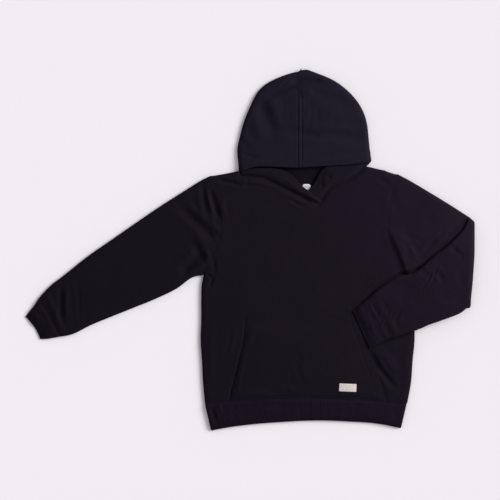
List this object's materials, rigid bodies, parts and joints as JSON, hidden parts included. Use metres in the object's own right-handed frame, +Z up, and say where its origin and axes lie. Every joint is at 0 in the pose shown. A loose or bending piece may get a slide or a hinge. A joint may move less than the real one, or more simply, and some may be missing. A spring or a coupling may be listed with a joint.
{
  "type": "toddler hoodie",
  "caption": "Toddler's pullover hoodie in brushed cotton fleece, laid flat front up, one sleeve straight out and the other folded back over the kangaroo pocket.",
  "frame": {"origin": "centre of the bounding box in plan, on the surface that the garment lies on", "axes": "+X across the chest, from the straight sleeve towards the folded one; +Y from the hem towards the hood; +Z up, out of the front"},
  "size_m": [0.7185, 0.5761, 0.0173],
  "materials": {
    "fleece": "brushed cotton fleece, near black with a slight violet cast, matt",
    "rib": "cotton rib knit, near black, matt",
    "label_cream": "woven damask label, cream, low sheen",
    "label_white": "printed satin label, off white, low sheen"
  },
  "bodies": {
    "root": {"back_panel": "fleece", "front_panel": "fleece", "waistband": "rib", "sleeve_straight": "fleece", "cuff_straight": "rib", "sleeve_folded": "fleece", "cuff_folded": "rib", "hood_left": "fleece", "hood_right": "fleece", "hood_front_left": "fleece", "hood_front_right": "fleece", "pocket": "fleece", "hem_label": "label_cream", "neck_label": "label_white"}
  },
  "joints": []
}
